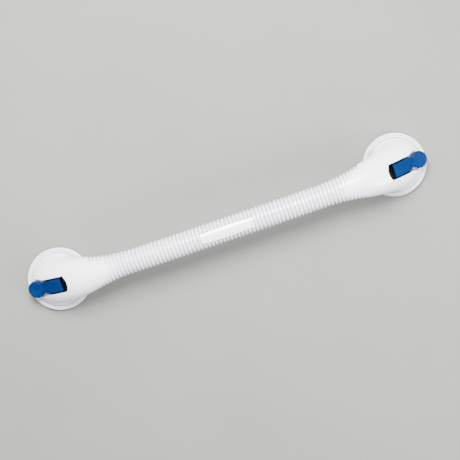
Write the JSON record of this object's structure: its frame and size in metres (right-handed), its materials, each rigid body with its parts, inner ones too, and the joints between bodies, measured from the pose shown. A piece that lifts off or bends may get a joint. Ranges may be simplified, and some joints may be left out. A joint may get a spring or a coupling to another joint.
{
  "type": "suction grab bar",
  "caption": "Ribbed white grab bar with a round suction head at each end, each locked to the wall by a fold-out blue cam lever.",
  "frame": {"origin": "on the wall plane, midway between the two suction cups", "axes": "+X along the bar, +Z away from the wall, +Y across the bar"},
  "size_m": [0.566, 0.086, 0.073],
  "materials": {
    "white_shell": "satin-gloss moulded ABS",
    "white_ring": "satin-gloss moulded ABS",
    "blue_lever": "semi-gloss moulded plastic",
    "black_frame": "matt acetal",
    "rod_plastic": "glass-filled nylon",
    "cup_rubber": "soft moulded rubber",
    "plate_steel": "stamped stainless",
    "pin_steel": "ground stainless",
    "spring_steel": "drawn wire",
    "screw_steel": "zinc plated"
  },
  "bodies": {
    "root": {"front_shell": "white_shell", "back_shell": "white_shell", "shell_screws": "screw_steel", "base_screws": "screw_steel", "cam_frame_screws": "screw_steel", "left_base_ring": "white_ring", "left_suction_cup": "cup_rubber", "left_cam_frame": "black_frame", "left_wear_plate": "plate_steel", "left_return_spring": "spring_steel", "right_base_ring": "white_ring", "right_suction_cup": "cup_rubber", "right_cam_frame": "black_frame", "right_wear_plate": "plate_steel", "right_return_spring": "spring_steel"},
    "left_rod": {"left_pull_rod": "rod_plastic"},
    "left_lever": {"left_lever": "blue_lever", "left_pivot_pin": "pin_steel"},
    "right_rod": {"right_pull_rod": "rod_plastic"},
    "right_lever": {"right_lever": "blue_lever", "right_pivot_pin": "pin_steel"}
  },
  "joints": [
    {"name": "left_cup_lift", "type": "slide", "parent": "root", "child": "left_rod", "axis": [0, 0, 1], "range_m": [-0.00401, 0], "deforming": ["left_return_spring", "left_suction_cup"]},
    {"name": "left_lever_hinge", "type": "hinge", "parent": "left_rod", "child": "left_lever", "pos_m": [-0.24, 0, 0.045], "axis": [0, 1, 0], "range_deg": [0, 90]},
    {"name": "right_cup_lift", "type": "slide", "parent": "root", "child": "right_rod", "axis": [0, 0, 1], "range_m": [-0.00401, 0], "deforming": ["right_return_spring", "right_suction_cup"]},
    {"name": "right_lever_hinge", "type": "hinge", "parent": "right_rod", "child": "right_lever", "pos_m": [0.24, 0, 0.045], "axis": [0, -1, 0], "range_deg": [0, 90]}
  ],
  "couplings": [
    {"joint": "left_cup_lift", "follows": "left_lever_hinge", "m_per_rad": -0.0025465},
    {"joint": "right_cup_lift", "follows": "right_lever_hinge", "m_per_rad": -0.0025465}
  ]
}
